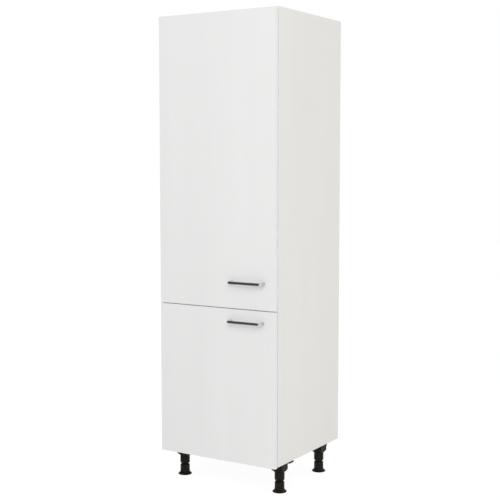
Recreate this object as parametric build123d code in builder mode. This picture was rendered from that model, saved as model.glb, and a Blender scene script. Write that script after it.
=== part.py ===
# Tall kitchen cabinet that houses a built-in fridge above a small cupboard.
# X runs from left to right, Y from front to back and Z up. The origin lies on the floor, in the middle
# of the whole object's width and depth.

from build123d import *
import math
import os

os.makedirs("parts", exist_ok=True)

# Driving sizes of the cabinet, in millimetres
carcass_width = 600
carcass_depth = 560
foot_height = 138
board_thickness = 16
shelf_thickness = 19
cupboard_height = 649
niche_height = 1235

# Doors
door_thickness = 18
door_gap = 3
door_side_reveal = 2
door_split_gap = 3
door_drop = 4
door_split_below_shelf = 1
door_edge_radius = 0.9

# Edge bands and fits
band_thickness = 0.8
slip_fit = 0.05
loose_fit = 0.2
running_fit = 0.05

# Back of the cabinet
back_board_thickness = 3
back_board_setback = 50
groove_depth = 6
vent_side_margin = 34
vent_depth = 46
vent_corner_radius = 12
rail_height = 100
middle_rail_share = 0.42

# Cam joints and dowels
cam_radius = 7.5
cam_overreach = 4.6
cam_distance = 34
cam_front_inset = 50
cam_rear_inset = 150
cam_slot_length = 9
bolt_thread_radius = 3
bolt_thread_length = 11
bolt_collar_radius = 3.8
bolt_collar_length = 1.5
bolt_stem_radius = 2.4
bolt_head_radius = 3.2
bolt_head_length = 4
bolt_channel_play = 0.4
dowel_radius = 4
dowel_length = 30
dowel_side_depth = 12
dowel_end_play = 0.5
dowel_chamfer = 0.8
dowel_offset = 32
rail_cam_share = 0.3
rail_dowel_share = 0.7

# Adjustable shelf and its pins
shelf_front_inset = 24
shelf_back_play = 3
shelf_side_play = 1
pin_radius = 2.5
pin_hole_depth = 10
pin_length = 9
pin_collar_radius = 4.5
pin_collar_thickness = 0.9
pin_tab_length = 8
pin_tab_width = 7
pin_tab_thickness = 3
pin_row_inset = 37
pin_row_start = 136
pin_row_pitch = 32
pin_row_count = 12
pins_below_count = 5

# Wall brackets
bracket_leg = 32
bracket_height = 60
bracket_thickness = 2
bracket_hole_radius = 2.6
bracket_hole_spacing = 36
bracket_below_rail = 8
bracket_bend_radius = 3
bracket_screw_radius = 1.9
bracket_screw_length = 13
bracket_screw_head_radius = 4
bracket_screw_head_height = 2

# Adjustable feet
foot_side_inset = 47.5
foot_front_inset = 96
foot_rear_inset = 102
socket_radius = 22
socket_bottom = 53
socket_chamfer = 2.5
socket_disc_radius = 42
socket_plate_thickness = 4
socket_head_width = 54
socket_head_low = 101
socket_cone_low = 89
socket_corner_radius = 3
tongue_reach_x = 47
tongue_reach_y = 44
tongue_width_x = 26
tongue_width_y = 38
tongue_thickness = 9
tongue_corner_radius = 4
stem_radius = 15
stem_top = 112
stem_fit = 0.08
stem_hole_top = 120
foot_screw_spacing_x = 28
foot_screw_spacing_y = 66
foot_screw_radius = 2
foot_screw_length = 12
foot_screw_head_radius = 3.9
foot_screw_head_height = 2.2
foot_shoulder = 47
foot_shoulder_chamfer = 3
foot_barrel_radius = 21.5
foot_barrel_low = 20
foot_base_radius = 31
foot_base_edge = 5
foot_edge_radius = 1.5
foot_flare_sag = 3.4

# Handles
handle_rod_radius = 7
handle_spacing = 160
handle_reach = 35
handle_bend_radius = 8
handle_thread_radius = 2.1
handle_thread_depth = 12
upper_handle_inset = 57
upper_handle_height = 113
lower_handle_inset = 61
lower_handle_drop = 53
handle_screw_radius = 2
handle_screw_hole_radius = 2.5
handle_screw_length = 26
handle_screw_head_radius = 4.5
handle_screw_head_height = 2.4

# Crossed slots in screw heads
slot_length = 4.4
slot_width = 1
slot_depth = 0.9

# Door buffers
buffer_radius = 4.5
buffer_thickness = 2.6
buffer_inset = 60

# Concealed hinges. Their points are given across, to the right of the middle of the cup, and back,
# behind the back face of the closed door
hinge_end_distance = 100
cup_edge_distance = 4
outer_link_root = (10.2, 6.0)
outer_link_bend = (10.5, -10.6)
outer_link_tip = (-6.9, -3.9)
inner_link_root = (20.9, 29.2)
inner_link_bend = (7.5, 4.0)
inner_link_tip = (-8.3, 0)
outer_link_half_height = 4
link_width = 3.4
outer_root_eye_radius = 2.9
outer_tip_eye_radius = 2.6
inner_root_eye_radius = 3
inner_tip_eye_radius = 2.3
link_pin_radius = 1.25
tip_stub_radius = 1
open_pivot_play = 0.4
sheet_thickness = 1.5
layer_play = 0.2
arm_nose_radius = 3.2
arm_hump_radius = 3.6
arm_web_front = 14
arm_hump_back = 30
arm_slope_end = 52
arm_back = 82
arm_top = 10
arm_pin_overhang = 0.4
arm_screw_back = 68
arm_screw_radius = 2
arm_screw_length = 14
arm_screw_head_radius = 3.6
arm_screw_head_height = 2.2
plate_thickness = 2
plate_front = 34
plate_back = 80
plate_half_height = 9
plate_hole_back = 40
plate_hole_spacing = 32
plate_wing_width = 13
plate_ridge_front = 56
plate_screw_radius = 2
plate_screw_length = 13
plate_screw_head_radius = 3.8
plate_screw_head_height = 1.6
cup_radius = 17.5
cup_depth = 13.2
cup_cavity_radius = 16.7
cup_cavity_depth = 12.6
cup_cavity_play = 0.8
cup_notch_depth = 0.8
cup_pin_depth = 1.8
flange_radius = 19
flange_thickness = 1.2
flange_wing_radius = 6.5
cup_screw_across = 6
cup_screw_spacing = 48
cup_screw_radius = 1.75
cup_screw_length = 13
cup_screw_head_radius = 3.4
cup_screw_head_height = 1.2
stub_boss_width = 4.8
stub_boss_height = 1.9
stub_boss_length = 3.3

# Places that follow from the sizes
half_width = carcass_width / 2
inner_half = half_width - board_thickness
vent_width = 2 * (inner_half - vent_side_margin)
overall_depth = handle_reach + door_thickness + door_gap + carcass_depth
back_y = overall_depth / 2
front_y = back_y - carcass_depth
board_front_y = front_y + band_thickness
door_back_y = front_y - door_gap
door_front_y = door_back_y - door_thickness
back_board_back_y = back_y - back_board_setback
back_board_front_y = back_board_back_y - back_board_thickness

carcass_bottom = foot_height
cupboard_floor = carcass_bottom + board_thickness
fixed_shelf_bottom = cupboard_floor + cupboard_height
fixed_shelf_top = fixed_shelf_bottom + shelf_thickness
niche_top = fixed_shelf_top + niche_height
carcass_top = niche_top + board_thickness

door_half = half_width - door_side_reveal
lower_door_bottom = carcass_bottom - door_drop
upper_door_top = carcass_top - door_drop
door_split = fixed_shelf_bottom + shelf_thickness / 2 - door_split_below_shelf - door_drop
lower_door_top = door_split - door_split_gap / 2
upper_door_bottom = door_split + door_split_gap / 2

# Joinery places that several boards share
cam_lines = [front_y + cam_front_inset, back_y - cam_rear_inset]
dowel_lines = [cam_lines[0] + dowel_offset, cam_lines[1] - dowel_offset]
bottom_board = (carcass_bottom, board_thickness)
fixed_board = (fixed_shelf_bottom, shelf_thickness)
top_board = (niche_top, board_thickness)
level_boards = [bottom_board, fixed_board, top_board]
rail_axis_y = back_y - board_thickness / 2
rail_bottoms = [fixed_shelf_top + middle_rail_share * niche_height, niche_top - rail_height]
rail_cam_levels = [low + rail_cam_share * rail_height for low in rail_bottoms]
rail_dowel_levels = [low + rail_dowel_share * rail_height for low in rail_bottoms]
cam_places = [(y, low + thickness / 2) for low, thickness in level_boards for y in cam_lines]
cam_places += [(rail_axis_y, level) for level in rail_cam_levels]
dowel_places = [(y, low + thickness / 2) for low, thickness in level_boards for y in dowel_lines]
dowel_places += [(rail_axis_y, level) for level in rail_dowel_levels]
cam_x = inner_half - cam_distance
dowel_bore_depth = dowel_length - dowel_side_depth + dowel_end_play

# Rows of shelf holes
pin_row_lines = [front_y + pin_row_inset, back_board_front_y - pin_row_inset]
pin_row_levels = [cupboard_floor + pin_row_start + i * pin_row_pitch for i in range(pin_row_count)]
pin_holes = [(y, z) for y in pin_row_lines for z in pin_row_levels]
pin_level = pin_row_levels[pins_below_count]
pin_places = [(y, pin_level) for y in pin_row_lines]
shelf_low = pin_level + pin_radius
shelf_half = inner_half - shelf_side_play
shelf_front_y = front_y + shelf_front_inset

# Wall brackets
bracket_middle = rail_bottoms[-1] - bracket_below_rail - bracket_height / 2
bracket_low = bracket_middle - bracket_height / 2
bracket_levels = [bracket_middle - bracket_hole_spacing / 2, bracket_middle + bracket_hole_spacing / 2]
bracket_hole_reach = (bracket_leg + bracket_thickness) / 2
bracket_side_places = [(back_y - bracket_hole_reach, z) for z in bracket_levels]

# Feet: for each one its middle and the ways to its nearest side and to the middle of the depth
foot_x = half_width - foot_side_inset
foot_places = {
    "front_left": (-foot_x, front_y + foot_front_inset, -1, 1),
    "front_right": (foot_x, front_y + foot_front_inset, 1, 1),
    "back_left": (-foot_x, back_y - foot_rear_inset, -1, -1),
    "back_right": (foot_x, back_y - foot_rear_inset, 1, -1),
}
foot_screw_places = [
    (x + a * foot_screw_spacing_x / 2, y + b * foot_screw_spacing_y / 2)
    for x, y, outward, inward in foot_places.values()
    for a in (-1, 1)
    for b in (-1, 1)
]
foot_screw_bite = foot_screw_length - socket_plate_thickness

# Handles: the right-hand leg of each
handle_places = {
    "upper": (door_half - upper_handle_inset, upper_door_bottom + upper_handle_height),
    "lower": (door_half - lower_handle_inset, lower_door_top - lower_handle_drop),
}

# Hinges
cup_x = -door_half + cup_edge_distance + cup_radius
hinge_levels = {
    "upper": [
        upper_door_bottom + hinge_end_distance,
        (upper_door_bottom + upper_door_top) / 2,
        upper_door_top - hinge_end_distance,
    ],
    "lower": [lower_door_bottom + hinge_end_distance, lower_door_top - hinge_end_distance],
}
all_hinge_levels = hinge_levels["lower"] + hinge_levels["upper"]
plate_face_x = -inner_half + plate_thickness
plate_base = plate_face_x - cup_x
arm_inside = outer_link_half_height + layer_play
arm_outside = arm_inside + sheet_thickness
inner_link_low = arm_outside + layer_play
inner_link_high = inner_link_low + sheet_thickness
cavity_half_height = inner_link_high + cup_cavity_play
cup_pin_reach = cavity_half_height + cup_pin_depth
cup_notch_half_height = outer_link_half_height + cup_cavity_play
plate_screw_places = [
    (door_back_y + plate_hole_back, level + way * plate_hole_spacing / 2)
    for level in all_hinge_levels
    for way in (-1, 1)
]
arm_screw_places = [(door_back_y + arm_screw_back, level) for level in all_hinge_levels]
cup_screw_x = cup_x + cup_screw_across


def block(low, high, mode=Mode.ADD):
    """A box between two opposite corners."""
    corner = [min(a, b) for a, b in zip(low, high)]
    size = [abs(b - a) for a, b in zip(low, high)]
    with Locations(tuple(corner)):
        Box(*size, align=(Align.MIN, Align.MIN, Align.MIN), mode=mode)


def round_x(start, length, radius, places, mode=Mode.ADD):
    """Round bars or holes along X from start, one at each (y, z); a negative length runs to the left."""
    with Locations(*[(start + length / 2, y, z) for y, z in places]):
        Cylinder(radius, abs(length), rotation=(0, 90, 0), mode=mode)


def round_y(start, length, radius, places, mode=Mode.ADD):
    """Round bars or holes along Y from start, one at each (x, z); a negative length runs to the front."""
    with Locations(*[(x, start + length / 2, z) for x, z in places]):
        Cylinder(radius, abs(length), rotation=(90, 0, 0), mode=mode)


def round_z(start, length, radius, places, mode=Mode.ADD):
    """Round bars or holes along Z from start, one at each (x, y); a negative length runs downwards."""
    with Locations(*[(x, y, start + length / 2) for x, y in places]):
        Cylinder(radius, abs(length), mode=mode)


def crossed_slots(axis, places, length=slot_length):
    """Crossed driver slots in heads whose outer faces are centred on the places; axis is 0, 1 or 2."""
    for long_axis in [i for i in range(3) if i != axis]:
        size = [slot_width, slot_width, slot_width]
        size[long_axis] = length
        size[axis] = 2 * slot_depth
        with Locations(*places):
            Box(*size, mode=Mode.SUBTRACT)


def write(piece, name):
    """Labels a finished piece and writes its STEP file."""
    piece.part.label = name
    export_step(piece.part, f"parts/{name}.step")


def end_bores(cam_ends, dowel_ends):
    """Bores for cam bolts and dowels in both ends of a board, at the given (y, z)."""
    for side in (-1, 1):
        end_x = side * inner_half
        round_x(end_x, -side * cam_distance, dowel_radius, cam_ends, Mode.SUBTRACT)
        round_x(end_x, -side * dowel_bore_depth, dowel_radius + slip_fit, dowel_ends, Mode.SUBTRACT)


def level_board_bores(low, thickness):
    """All joint bores of a level board; its cams are let in from below."""
    middle = low + thickness / 2
    end_bores([(y, middle) for y in cam_lines], [(y, middle) for y in dowel_lines])
    places = [(side * cam_x, y) for side in (-1, 1) for y in cam_lines]
    round_z(low, thickness / 2 + cam_overreach + slip_fit, cam_radius, places, Mode.SUBTRACT)


def vent_notch(low, thickness):
    """A notch in the back edge of a board, through which warm air rises behind the fridge."""
    with BuildSketch(Plane.XY.offset(low)) as notch:
        with Locations((0, back_y)):
            RectangleRounded(vent_width, 2 * vent_depth, vent_corner_radius)
    extrude(notch.sketch, amount=thickness, mode=Mode.SUBTRACT)


# Side panels: the left one also carries the hinge plates
for side, name in ((-1, "side_panel_left"), (1, "side_panel_right")):
    inner_x = side * inner_half
    with BuildPart() as side_panel:
        block((side * half_width, board_front_y, carcass_bottom), (inner_x, back_y, carcass_top))
        block(
            (inner_x, back_board_front_y - loose_fit, cupboard_floor - groove_depth),
            (inner_x + side * groove_depth, back_board_back_y + loose_fit, fixed_shelf_bottom + groove_depth),
            Mode.SUBTRACT,
        )
        thread_bore = bolt_thread_radius + slip_fit
        round_x(inner_x, side * (bolt_thread_length + slip_fit), thread_bore, cam_places, Mode.SUBTRACT)
        round_x(inner_x, side * dowel_side_depth, dowel_radius + slip_fit, dowel_places, Mode.SUBTRACT)
        round_x(inner_x, side * pin_hole_depth, pin_radius + slip_fit, pin_holes, Mode.SUBTRACT)
        bracket_bore = bracket_screw_radius + slip_fit
        round_x(inner_x, side * bracket_screw_length, bracket_bore, bracket_side_places, Mode.SUBTRACT)
        if side < 0:
            plate_bore = plate_screw_radius + slip_fit
            round_x(inner_x, side * plate_screw_length, plate_bore, plate_screw_places, Mode.SUBTRACT)
    write(side_panel, name)

# Bottom panel: it ends in front of the ventilation shaft
with BuildPart() as bottom_panel:
    block((-inner_half, board_front_y, carcass_bottom), (inner_half, back_board_back_y, cupboard_floor))
    block(
        (-inner_half, back_board_front_y - loose_fit, cupboard_floor - groove_depth),
        (inner_half, back_board_back_y, cupboard_floor),
        Mode.SUBTRACT,
    )
    level_board_bores(*bottom_board)
    round_z(carcass_bottom, foot_screw_bite, foot_screw_radius + slip_fit, foot_screw_places, Mode.SUBTRACT)
write(bottom_panel, "bottom_panel")

# Fixed shelf that carries the fridge
with BuildPart() as fixed_shelf:
    block((-inner_half, board_front_y, fixed_shelf_bottom), (inner_half, back_y, fixed_shelf_top))
    block(
        (-inner_half, back_board_front_y - loose_fit, fixed_shelf_bottom),
        (inner_half, back_board_back_y + loose_fit, fixed_shelf_bottom + groove_depth),
        Mode.SUBTRACT,
    )
    level_board_bores(*fixed_board)
    vent_notch(*fixed_board)
write(fixed_shelf, "fixed_shelf")

# Top panel
with BuildPart() as top_panel:
    block((-inner_half, board_front_y, niche_top), (inner_half, back_y, carcass_top))
    level_board_bores(*top_board)
    vent_notch(*top_board)
write(top_panel, "top_panel")

# Two rails across the back of the niche; their cams are let in from behind
for low, cam_level, dowel_level, name in zip(
    rail_bottoms, rail_cam_levels, rail_dowel_levels, ("middle_rail", "top_rail")
):
    with BuildPart() as rail:
        block((-inner_half, back_y - board_thickness, low), (inner_half, back_y, low + rail_height))
        end_bores([(rail_axis_y, cam_level)], [(rail_axis_y, dowel_level)])
        cam_bore_depth = board_thickness / 2 + cam_overreach + slip_fit
        round_y(back_y, -cam_bore_depth, cam_radius, [(-cam_x, cam_level), (cam_x, cam_level)], Mode.SUBTRACT)
    write(rail, name)

# Thin back board of the lower cupboard, held in grooves
with BuildPart() as back_board:
    back_board_half = inner_half + groove_depth - loose_fit
    block(
        (-back_board_half, back_board_front_y, cupboard_floor - groove_depth),
        (back_board_half, back_board_back_y, fixed_shelf_bottom + groove_depth - loose_fit),
    )
write(back_board, "back_board")

# Adjustable shelf of the lower cupboard
with BuildPart() as adjustable_shelf:
    block(
        (-shelf_half, shelf_front_y + band_thickness, shelf_low),
        (shelf_half, back_board_front_y - shelf_back_play, shelf_low + board_thickness),
    )
write(adjustable_shelf, "adjustable_shelf")

# Edge bands on the front edges of the boards
with BuildPart() as edge_bands:
    for side in (-1, 1):
        block((side * half_width, front_y, carcass_bottom), (side * inner_half, board_front_y, carcass_top))
    for low, thickness in level_boards:
        band_half = inner_half - slip_fit
        block((-band_half, front_y, low), (band_half, board_front_y, low + thickness))
    block(
        (-shelf_half, shelf_front_y, shelf_low),
        (shelf_half, shelf_front_y + band_thickness, shelf_low + board_thickness),
    )
write(edge_bands, "edge_bands")

# Shelf pins with a flat tab under the shelf
with BuildPart() as shelf_pins:
    for side in (-1, 1):
        inner_x = side * inner_half
        round_x(inner_x, side * pin_length, pin_radius, pin_places)
        round_x(inner_x, -side * pin_collar_thickness, pin_collar_radius, pin_places)
        tab_end_x = inner_x - side * (pin_collar_thickness + pin_tab_length)
        for y in pin_row_lines:
            block(
                (inner_x, y - pin_tab_width / 2, shelf_low - pin_tab_thickness),
                (tab_end_x, y + pin_tab_width / 2, shelf_low),
            )
write(shelf_pins, "shelf_pins")


def cams(thickness, places):
    """Cams with the visible face on the XY plane of each place and the bolt channel towards its X."""
    channel = bolt_head_radius + bolt_channel_play
    middle = thickness / 2
    with BuildPart() as cam:
        round_z(0, middle + cam_overreach, cam_radius - slip_fit, [(0, 0)])
        block((-channel, -channel, middle - channel), (cam_radius, channel, middle + channel), Mode.SUBTRACT)
        crossed_slots(2, [(0, 0, 0)], cam_slot_length)
    return [cam.part.moved(place) for place in places]


cam_shapes = []
for low, thickness in level_boards:
    cam_shapes += cams(thickness, [Location((cam_x, y, low)) for y in cam_lines])
    cam_shapes += cams(thickness, [Location((-cam_x, y, low), (0, 0, 180)) for y in cam_lines])
for level in rail_cam_levels:
    rail_cams = [Location((cam_x, back_y, level), (90, 0, 0)), Location((-cam_x, back_y, level), (90, 0, 180))]
    cam_shapes += cams(board_thickness, rail_cams)
with BuildPart() as cam_locks:
    add(cam_shapes)
write(cam_locks, "cam_locks")

# Cam bolts: a thread in the side panel, a collar, a stem and a head in the cam
with BuildPart() as cam_bolts:
    for side in (-1, 1):
        inner_x = side * inner_half
        round_x(inner_x, side * bolt_thread_length, bolt_thread_radius, cam_places)
        round_x(inner_x, -side * bolt_collar_length, bolt_collar_radius, cam_places)
        round_x(inner_x, -side * cam_distance, bolt_stem_radius, cam_places)
        head_x = side * (cam_x + bolt_head_length / 2)
        round_x(head_x, -side * bolt_head_length, bolt_head_radius, cam_places)
write(cam_bolts, "cam_bolts")

# Wooden dowels
with BuildPart() as dowels:
    for side in (-1, 1):
        round_x(side * (inner_half + dowel_side_depth), -side * dowel_length, dowel_radius, dowel_places)
    chamfer(dowels.edges().filter_by(GeomType.CIRCLE), dowel_chamfer)
write(dowels, "dowels")

# Wall brackets: angles on the inner faces of the side panels, in line with the back of the cabinet
with BuildPart() as wall_brackets:
    for side in (-1, 1):
        corner_x = side * inner_half
        with BuildSketch(Plane.XY.offset(bracket_low)) as bracket_outline:
            with BuildLine():
                Polyline(
                    (corner_x, back_y),
                    (corner_x, back_y - bracket_leg),
                    (corner_x - side * bracket_thickness, back_y - bracket_leg),
                    (corner_x - side * bracket_thickness, back_y - bracket_thickness),
                    (corner_x - side * bracket_leg, back_y - bracket_thickness),
                    (corner_x - side * bracket_leg, back_y),
                    close=True,
                )
            make_face()
            corner = bracket_outline.vertices().sort_by_distance((corner_x, back_y))[0]
            fillet(corner, bracket_bend_radius)
        extrude(amount=bracket_height)
        wall_holes = [(corner_x - side * bracket_hole_reach, z) for z in bracket_levels]
        round_x(corner_x, -side * bracket_thickness, bracket_hole_radius, bracket_side_places, Mode.SUBTRACT)
        round_y(back_y, -bracket_thickness, bracket_hole_radius, wall_holes, Mode.SUBTRACT)
write(wall_brackets, "wall_brackets")

with BuildPart() as wall_bracket_screws:
    for side in (-1, 1):
        seat_x = side * (inner_half - bracket_thickness)
        head_x = seat_x - side * bracket_screw_head_height
        round_x(seat_x, side * bracket_screw_length, bracket_screw_radius, bracket_side_places)
        round_x(seat_x, head_x - seat_x, bracket_screw_head_radius, bracket_side_places)
        crossed_slots(0, [(head_x, y, z) for y, z in bracket_side_places])
write(wall_bracket_screws, "wall_bracket_screws")

# Foot sockets: a round barrel that widens to a square head under a round plate. A tongue beside the head
# runs under the side panel
plate_low = carcass_bottom - socket_plate_thickness
head_corner = socket_head_width / math.sqrt(2)
for name, (x, y, outward, inward) in foot_places.items():
    with BuildPart() as foot_socket:
        with BuildSketch(Plane.XZ) as head_profile:
            with BuildLine():
                Polyline(
                    (0, socket_bottom),
                    (socket_radius - socket_chamfer, socket_bottom),
                    (socket_radius, socket_bottom + socket_chamfer),
                    (socket_radius, socket_cone_low),
                    (head_corner, socket_head_low),
                    (head_corner, plate_low),
                    (0, plate_low),
                    close=True,
                )
            make_face()
        revolve(axis=Axis.Z)
        with BuildSketch(Plane.XY.offset(socket_bottom)) as head_outline:
            RectangleRounded(socket_head_width, socket_head_width, socket_corner_radius)
        extrude(amount=plate_low - socket_bottom, mode=Mode.INTERSECT)
        with BuildSketch(Plane.XY.offset(plate_low)) as plate_outline:
            Circle(socket_disc_radius)
        extrude(amount=socket_plate_thickness)
        tongue_middle_x = outward * (tongue_reach_x - tongue_width_x / 2)
        tongue_middle_y = inward * (tongue_reach_y - tongue_width_y / 2)
        with BuildSketch(Plane.XY.offset(carcass_bottom - tongue_thickness)) as tongue_outline:
            with Locations((tongue_middle_x, tongue_middle_y)):
                RectangleRounded(tongue_width_x, tongue_width_y, tongue_corner_radius)
        extrude(amount=tongue_thickness)
        round_z(socket_bottom, stem_hole_top - socket_bottom, stem_radius + stem_fit, [(0, 0)], Mode.SUBTRACT)
        own_screws = [(sx - x, sy - y) for sx, sy in foot_screw_places]
        round_z(plate_low, socket_plate_thickness, foot_screw_radius + slip_fit, own_screws, Mode.SUBTRACT)
    foot_socket.part = foot_socket.part.moved(Location((x, y, 0)))
    write(foot_socket, f"foot_socket_{name}")

# Feet: a stem that screws into the socket, a barrel and a flared base
for name, (x, y, outward, inward) in foot_places.items():
    with BuildPart() as foot:
        with BuildSketch(Plane.XZ) as foot_profile:
            with BuildLine():
                base_corner = (foot_base_radius, foot_base_edge)
                barrel_corner = (foot_barrel_radius, foot_barrel_low)
                shoulder_edge = (foot_barrel_radius, foot_shoulder - foot_shoulder_chamfer)
                shoulder_top = (foot_barrel_radius - foot_shoulder_chamfer, foot_shoulder)
                Polyline((0, 0), (foot_base_radius, 0), base_corner)
                SagittaArc(base_corner, barrel_corner, foot_flare_sag)
                Polyline(
                    barrel_corner,
                    shoulder_edge,
                    shoulder_top,
                    (stem_radius, foot_shoulder),
                    (stem_radius, stem_top),
                    (0, stem_top),
                    (0, 0),
                )
            make_face()
            rim = foot_profile.vertices().sort_by_distance((foot_base_radius, foot_base_edge / 2))[:2]
            fillet(rim, foot_edge_radius)
        revolve(axis=Axis.Z)
    foot.part = foot.part.moved(Location((x, y, 0)))
    write(foot, f"foot_{name}")

# Screws that hold the foot sockets to the bottom panel
with BuildPart() as foot_screws:
    head_z = plate_low - foot_screw_head_height
    round_z(plate_low, foot_screw_length, foot_screw_radius, foot_screw_places)
    round_z(plate_low, -foot_screw_head_height, foot_screw_head_radius, foot_screw_places)
    crossed_slots(2, [(x, y, head_z) for x, y in foot_screw_places])
write(foot_screws, "foot_screws")

# Doors with their bores for hinge cups, hinge screws and handle screws
door_levels = {"upper": (upper_door_bottom, upper_door_top), "lower": (lower_door_bottom, lower_door_top)}
for name, (low, high) in door_levels.items():
    levels = hinge_levels[name]
    handle_x, handle_z = handle_places[name]
    legs = [(handle_x - handle_spacing, handle_z), (handle_x, handle_z)]
    cup_places = [(cup_x, level) for level in levels]
    cup_screw_places = [
        (cup_screw_x, level + way * cup_screw_spacing / 2) for level in levels for way in (-1, 1)
    ]
    buffer_x = half_width - board_thickness / 2
    buffer_places = [(buffer_x, low + buffer_inset), (buffer_x, high - buffer_inset)]
    with BuildPart() as door:
        block((-door_half, door_front_y, low), (door_half, door_back_y, high))
        fillet(door.faces().sort_by(Axis.Y)[0].edges(), door_edge_radius)
        round_y(door_back_y, -(cup_depth + slip_fit), cup_radius + slip_fit, cup_places, Mode.SUBTRACT)
        cup_screw_bite = cup_screw_length - flange_thickness
        cup_screw_bore = cup_screw_radius + slip_fit
        round_y(door_back_y, -cup_screw_bite, cup_screw_bore, cup_screw_places, Mode.SUBTRACT)
        round_y(door_back_y, -door_thickness, handle_screw_hole_radius, legs, Mode.SUBTRACT)
    write(door, f"{name}_door")

    # Handle: one round bar with both ends bent towards the door
    bar_y = door_front_y - handle_reach + handle_rod_radius
    left_x = handle_x - handle_spacing
    with BuildPart() as handle:
        with BuildLine() as handle_path:
            FilletPolyline(
                (left_x, door_front_y, handle_z),
                (left_x, bar_y, handle_z),
                (handle_x, bar_y, handle_z),
                (handle_x, door_front_y, handle_z),
                radius=handle_bend_radius,
            )
        with BuildSketch(Plane.XZ.offset(-door_front_y)) as handle_section:
            with Locations((left_x, handle_z)):
                Circle(handle_rod_radius)
        sweep(handle_section.sketch, path=handle_path.line)
        round_y(door_front_y, -handle_thread_depth, handle_thread_radius, legs, Mode.SUBTRACT)
    write(handle, f"{name}_handle")

    with BuildPart() as handle_screws:
        head_y = door_back_y + handle_screw_head_height
        round_y(door_back_y, -handle_screw_length, handle_screw_radius, legs)
        round_y(door_back_y, handle_screw_head_height, handle_screw_head_radius, legs)
        crossed_slots(1, [(x, head_y, z) for x, z in legs])
    write(handle_screws, f"{name}_handle_screws")

    # Soft buffers where the door meets the right side panel
    with BuildPart() as buffers:
        round_y(door_back_y, buffer_thickness, buffer_radius, buffer_places)
        fillet(buffers.edges().group_by(Axis.Y)[-1], buffer_thickness / 4)
    write(buffers, f"{name}_door_buffers")

    # Hinge cups with their flanges, let into the back of the door
    with BuildPart() as hinge_cups:
        round_y(door_back_y, -cup_depth, cup_radius, cup_places)
        for level in levels:
            with BuildSketch(Plane.XZ.offset(-door_back_y)) as flange_outline:
                with Locations((cup_x, level)):
                    Circle(flange_radius)
                for way in (-1, 1):
                    with Locations((cup_screw_x, level + way * cup_screw_spacing / 2)):
                        Circle(flange_wing_radius)
                make_hull()
            extrude(amount=-flange_thickness)
            for way in (-1, 1):
                stub_x = cup_x + inner_link_tip[0]
                block(
                    (stub_x - stub_boss_width / 2, door_back_y, level + way * cavity_half_height),
                    (
                        stub_x + stub_boss_width / 2,
                        door_back_y + stub_boss_height,
                        level + way * (cavity_half_height + stub_boss_length),
                    ),
                )
            with BuildSketch(Plane.XZ.offset(-door_back_y - stub_boss_height)) as cavity:
                with Locations((cup_x, level)):
                    Circle(cup_cavity_radius)
                    Rectangle(2 * cup_cavity_radius, 2 * cavity_half_height, mode=Mode.INTERSECT)
            extrude(amount=stub_boss_height + cup_cavity_depth, mode=Mode.SUBTRACT)
            block(
                (cup_x - flange_radius, door_back_y - cup_notch_depth, level - cup_notch_half_height),
                (cup_x, door_back_y + flange_thickness, level + cup_notch_half_height),
                Mode.SUBTRACT,
            )
            for point, radius in ((outer_link_tip, link_pin_radius), (inner_link_tip, tip_stub_radius)):
                place = (cup_x + point[0], door_back_y + point[1])
                round_z(level - cup_pin_reach, 2 * cup_pin_reach, radius + slip_fit, [place], Mode.SUBTRACT)
        round_y(door_back_y, flange_thickness, cup_screw_bore, cup_screw_places, Mode.SUBTRACT)
    write(hinge_cups, f"{name}_hinge_cups")

    with BuildPart() as cup_screws:
        seat_y = door_back_y + flange_thickness
        head_y = seat_y + cup_screw_head_height
        round_y(seat_y, -cup_screw_length, cup_screw_radius, cup_screw_places)
        round_y(seat_y, cup_screw_head_height, cup_screw_head_radius, cup_screw_places)
        crossed_slots(1, [(x, head_y, z) for x, z in cup_screw_places])
    write(cup_screws, f"{name}_hinge_cup_screws")

    # Pins of the hinge cups: a long one for the outer link and two stubs for the inner link
    with BuildPart() as cup_pins:
        for level in levels:
            long_place = (cup_x + outer_link_tip[0], door_back_y + outer_link_tip[1])
            stub_place = (cup_x + inner_link_tip[0], door_back_y + inner_link_tip[1])
            round_z(level - cup_pin_reach, 2 * cup_pin_reach, link_pin_radius, [long_place])
            for way in (-1, 1):
                start = level + way * arm_outside
                round_z(start, way * (cup_pin_reach - arm_outside), tip_stub_radius, [stub_place])
    write(cup_pins, f"{name}_hinge_cup_pins")


def at_hinge(point):
    """A hinge point, given across and back, as a place in the cabinet."""
    return (cup_x + point[0], door_back_y + point[1])


def link_plate(points, eyes, holes, start, height):
    """A bent link from its root over its bend to its tip, with an eye and a hole at both ends."""
    root, bend, tip = points
    with BuildSketch(Plane.XY.offset(start)) as outline:
        for a, b in ((root, bend), (bend, tip)):
            middle = ((a[0] + b[0]) / 2, (a[1] + b[1]) / 2)
            angle = math.degrees(math.atan2(b[1] - a[1], b[0] - a[0]))
            with Locations(at_hinge(middle)):
                SlotCenterToCenter(math.dist(a, b), link_width, rotation=angle)
        for point, radius in zip((root, tip), eyes):
            with Locations(at_hinge(point)):
                Circle(radius)
        for point, radius in zip((root, tip), holes):
            with Locations(at_hinge(point)):
                Circle(radius, mode=Mode.SUBTRACT)
    extrude(outline.sketch, amount=height)


# Links: the outer one is a single wide link, the inner one a pair of thin plates
running_bore = link_pin_radius + running_fit
for name, levels in hinge_levels.items():
    with BuildPart() as outer_links:
        for level in levels:
            link_plate(
                (outer_link_root, outer_link_bend, outer_link_tip),
                (outer_root_eye_radius, outer_tip_eye_radius),
                (running_bore, running_bore),
                level - outer_link_half_height,
                2 * outer_link_half_height,
            )
    write(outer_links, f"{name}_outer_links")
    with BuildPart() as inner_links:
        for level in levels:
            for start in (level + inner_link_low, level - inner_link_high):
                link_plate(
                    (inner_link_root, inner_link_bend, inner_link_tip),
                    (inner_root_eye_radius, inner_tip_eye_radius),
                    (running_bore, tip_stub_radius + open_pivot_play),
                    start,
                    sheet_thickness,
                )
    write(inner_links, f"{name}_inner_links")


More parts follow.
